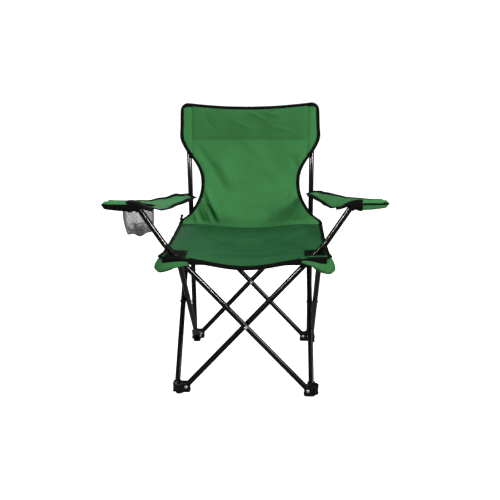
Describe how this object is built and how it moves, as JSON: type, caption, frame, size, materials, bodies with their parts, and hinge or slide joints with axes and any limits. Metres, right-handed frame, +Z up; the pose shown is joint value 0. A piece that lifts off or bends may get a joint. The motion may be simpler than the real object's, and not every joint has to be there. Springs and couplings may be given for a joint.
{
  "type": "folding camp chair",
  "caption": "Folding camp chair: a square of crossed steel rods on moulded feet, a cloth sling seat and back on two posts, cloth arm pads and a mesh cup holder.",
  "frame": {"origin": "on the floor under the middle of the frame", "axes": "+Z up, +X to the sitter's left (the viewer's right), the sitter faces -Y"},
  "size_m": [0.776, 0.45, 0.8],
  "materials": {
    "black_steel": "gloss",
    "black_plastic": "satin",
    "bright_steel": "satin",
    "green_cloth": "matte",
    "light_green_cloth": "matte",
    "black_tape": "matte",
    "grey_mesh": "matte"
  },
  "bodies": {
    "rear_left_foot": {"rear_left_foot": "black_plastic", "rear_left_foot_rivet_a": "bright_steel", "rear_left_foot_rivet_b": "bright_steel", "left_back_post": "black_steel", "left_post_screw": "bright_steel", "left_post_cap": "black_plastic", "back_panel": "green_cloth", "back_binding": "black_tape", "head_band": "green_cloth"},
    "rear_right_foot": {"rear_right_foot": "black_plastic", "rear_right_foot_rivet_a": "bright_steel", "rear_right_foot_rivet_b": "bright_steel", "right_back_post": "black_steel", "right_post_screw": "bright_steel", "right_post_cap": "black_plastic"},
    "front_left_foot": {"front_left_foot": "black_plastic", "front_left_foot_rivet_a": "bright_steel", "front_left_foot_rivet_b": "bright_steel"},
    "front_right_foot": {"front_right_foot": "black_plastic", "front_right_foot_rivet_a": "bright_steel", "front_right_foot_rivet_b": "bright_steel"},
    "rear_outer_rod": {"rear_outer_rod": "black_steel", "rear_cross_rivet": "bright_steel"},
    "rear_inner_rod": {"rear_inner_rod": "black_steel"},
    "left_inner_rod": {"left_inner_rod": "black_steel"},
    "left_outer_rod": {"left_outer_rod": "black_steel", "left_cross_rivet": "bright_steel"},
    "right_outer_rod": {"right_outer_rod": "black_steel", "right_cross_rivet": "bright_steel"},
    "right_inner_rod": {"right_inner_rod": "black_steel"},
    "front_inner_rod": {"front_inner_rod": "black_steel", "right_arm_cap": "black_plastic"},
    "front_outer_rod": {"front_outer_rod": "black_steel", "front_cross_rivet": "bright_steel", "left_arm_cap": "black_plastic"},
    "rear_left_slider": {"rear_left_slider": "black_plastic", "rear_left_top_rivet_a": "bright_steel", "rear_left_top_rivet_b": "bright_steel"},
    "rear_right_slider": {"rear_right_slider": "black_plastic", "rear_right_top_rivet_a": "bright_steel", "rear_right_top_rivet_b": "bright_steel"},
    "front_left_bracket": {"front_left_bracket": "black_plastic", "front_left_top_rivet_a": "bright_steel", "front_left_top_rivet_b": "bright_steel", "front_left_pocket": "light_green_cloth", "left_corner_patch": "black_tape", "seat_front_strip": "green_cloth", "seat_front_hem": "black_tape"},
    "front_right_bracket": {"front_right_bracket": "black_plastic", "front_right_top_rivet_a": "bright_steel", "front_right_top_rivet_b": "bright_steel", "front_right_pocket": "light_green_cloth", "right_corner_patch": "black_tape"},
    "seat_front": {"seat_panel_front": "green_cloth"},
    "seat_rear": {"seat_panel_rear": "green_cloth"},
    "left_arm_pad": {"left_arm_pad": "green_cloth", "cup_holder_bag": "grey_mesh", "cup_holder_rim": "black_tape"},
    "right_arm_pad": {"right_arm_pad": "green_cloth"}
  },
  "joints": [
    {"name": "fold", "type": "hinge", "parent": "rear_left_foot", "child": "rear_outer_rod", "pos_m": [-0.177, 0.2053, 0.018], "axis": [0, -1, 0], "range_deg": [0, 36], "deforming": ["back_panel", "back_binding", "head_band", "seat_panel_front", "seat_front_strip", "seat_front_hem", "seat_panel_rear", "front_left_pocket", "front_right_pocket", "left_corner_patch", "right_corner_patch", "left_arm_pad", "right_arm_pad", "cup_holder_bag", "cup_holder_rim"]},
    {"name": "rear_cross", "type": "hinge", "parent": "rear_outer_rod", "child": "rear_inner_rod", "pos_m": [0, 0.197, 0.211], "axis": [0, 1, 0], "range_deg": [0, 72]},
    {"name": "rear_right_foot_hinge", "type": "hinge", "parent": "rear_inner_rod", "child": "rear_right_foot", "pos_m": [0.177, 0.1887, 0.018], "axis": [0, -1, 0], "range_deg": [0, 36]},
    {"name": "left_inner_foot_hinge", "type": "hinge", "parent": "rear_left_foot", "child": "left_inner_rod", "pos_m": [-0.1887, 0.177, 0.018], "axis": [-1, 0, 0], "range_deg": [0, 36]},
    {"name": "left_cross", "type": "hinge", "parent": "left_inner_rod", "child": "left_outer_rod", "pos_m": [-0.197, 0, 0.211], "axis": [1, 0, 0], "range_deg": [0, 72]},
    {"name": "front_left_foot_hinge", "type": "hinge", "parent": "left_outer_rod", "child": "front_left_foot", "pos_m": [-0.2053, -0.177, 0.018], "axis": [-1, 0, 0], "range_deg": [0, 36]},
    {"name": "right_outer_foot_hinge", "type": "hinge", "parent": "rear_right_foot", "child": "right_outer_rod", "pos_m": [0.2053, 0.177, 0.018], "axis": [-1, 0, 0], "range_deg": [0, 36]},
    {"name": "right_cross", "type": "hinge", "parent": "right_outer_rod", "child": "right_inner_rod", "pos_m": [0.197, 0, 0.211], "axis": [1, 0, 0], "range_deg": [0, 72]},
    {"name": "front_right_foot_hinge", "type": "hinge", "parent": "right_inner_rod", "child": "front_right_foot", "pos_m": [0.1887, -0.177, 0.018], "axis": [-1, 0, 0], "range_deg": [0, 36]},
    {"name": "front_inner_foot_hinge", "type": "hinge", "parent": "front_left_foot", "child": "front_inner_rod", "pos_m": [-0.177, -0.1887, 0.018], "axis": [0, -1, 0], "range_deg": [0, 36]},
    {"name": "front_cross", "type": "hinge", "parent": "front_inner_rod", "child": "front_outer_rod", "pos_m": [0, -0.197, 0.211], "axis": [0, 1, 0], "range_deg": [0, 72]},
    {"name": "rear_left_slider_hinge", "type": "hinge", "parent": "rear_inner_rod", "child": "rear_left_slider", "pos_m": [-0.177, 0.1887, 0.404], "axis": [0, -1, 0], "range_deg": [0, 36]},
    {"name": "rear_right_slider_hinge", "type": "hinge", "parent": "rear_outer_rod", "child": "rear_right_slider", "pos_m": [0.177, 0.2053, 0.404], "axis": [0, 1, 0], "range_deg": [0, 36]},
    {"name": "front_left_bracket_hinge", "type": "hinge", "parent": "front_outer_rod", "child": "front_left_bracket", "pos_m": [-0.177, -0.2053, 0.404], "axis": [0, -1, 0], "range_deg": [0, 36]},
    {"name": "front_right_bracket_hinge", "type": "hinge", "parent": "front_inner_rod", "child": "front_right_bracket", "pos_m": [0.177, -0.1887, 0.404], "axis": [0, 1, 0], "range_deg": [0, 36]},
    {"name": "seat_front_hinge", "type": "hinge", "parent": "front_left_bracket", "child": "seat_front", "pos_m": [-0.177, -0.165, 0.419], "axis": [-1, 0, 0], "range_deg": [0, 84.96]},
    {"name": "seat_rear_hinge", "type": "hinge", "parent": "rear_left_slider", "child": "seat_rear", "pos_m": [-0.177, 0.158, 0.419], "axis": [1, 0, 0], "range_deg": [0, 84.96]},
    {"name": "left_arm_pad_hinge", "type": "hinge", "parent": "front_outer_rod", "child": "left_arm_pad", "pos_m": [-0.34, -0.2053, 0.562], "axis": [-1, 0, 0], "range_deg": [0, 41.44]},
    {"name": "right_arm_pad_hinge", "type": "hinge", "parent": "front_inner_rod", "child": "right_arm_pad", "pos_m": [0.34, -0.1887, 0.562], "axis": [-1, 0, 0], "range_deg": [0, 44.93]}
  ],
  "couplings": [
    {"joint": "rear_cross", "follows": "fold", "ratio": 2},
    {"joint": "rear_right_foot_hinge", "follows": "fold", "ratio": 1},
    {"joint": "left_inner_foot_hinge", "follows": "fold", "ratio": 1},
    {"joint": "left_cross", "follows": "fold", "ratio": 2},
    {"joint": "front_left_foot_hinge", "follows": "fold", "ratio": 1},
    {"joint": "right_outer_foot_hinge", "follows": "fold", "ratio": 1},
    {"joint": "right_cross", "follows": "fold", "ratio": 2},
    {"joint": "front_right_foot_hinge", "follows": "fold", "ratio": 1},
    {"joint": "front_inner_foot_hinge", "follows": "fold", "ratio": 1},
    {"joint": "front_cross", "follows": "fold", "ratio": 2},
    {"joint": "rear_left_slider_hinge", "follows": "fold", "ratio": 1},
    {"joint": "rear_right_slider_hinge", "follows": "fold", "ratio": 1},
    {"joint": "front_left_bracket_hinge", "follows": "fold", "ratio": 1},
    {"joint": "front_right_bracket_hinge", "follows": "fold", "ratio": 1},
    {"joint": "seat_front_hinge", "follows": "fold", "ratio": 2.36},
    {"joint": "seat_rear_hinge", "follows": "fold", "ratio": 2.36},
    {"joint": "left_arm_pad_hinge", "follows": "fold", "ratio": 1.151},
    {"joint": "right_arm_pad_hinge", "follows": "fold", "ratio": 1.248}
  ]
}
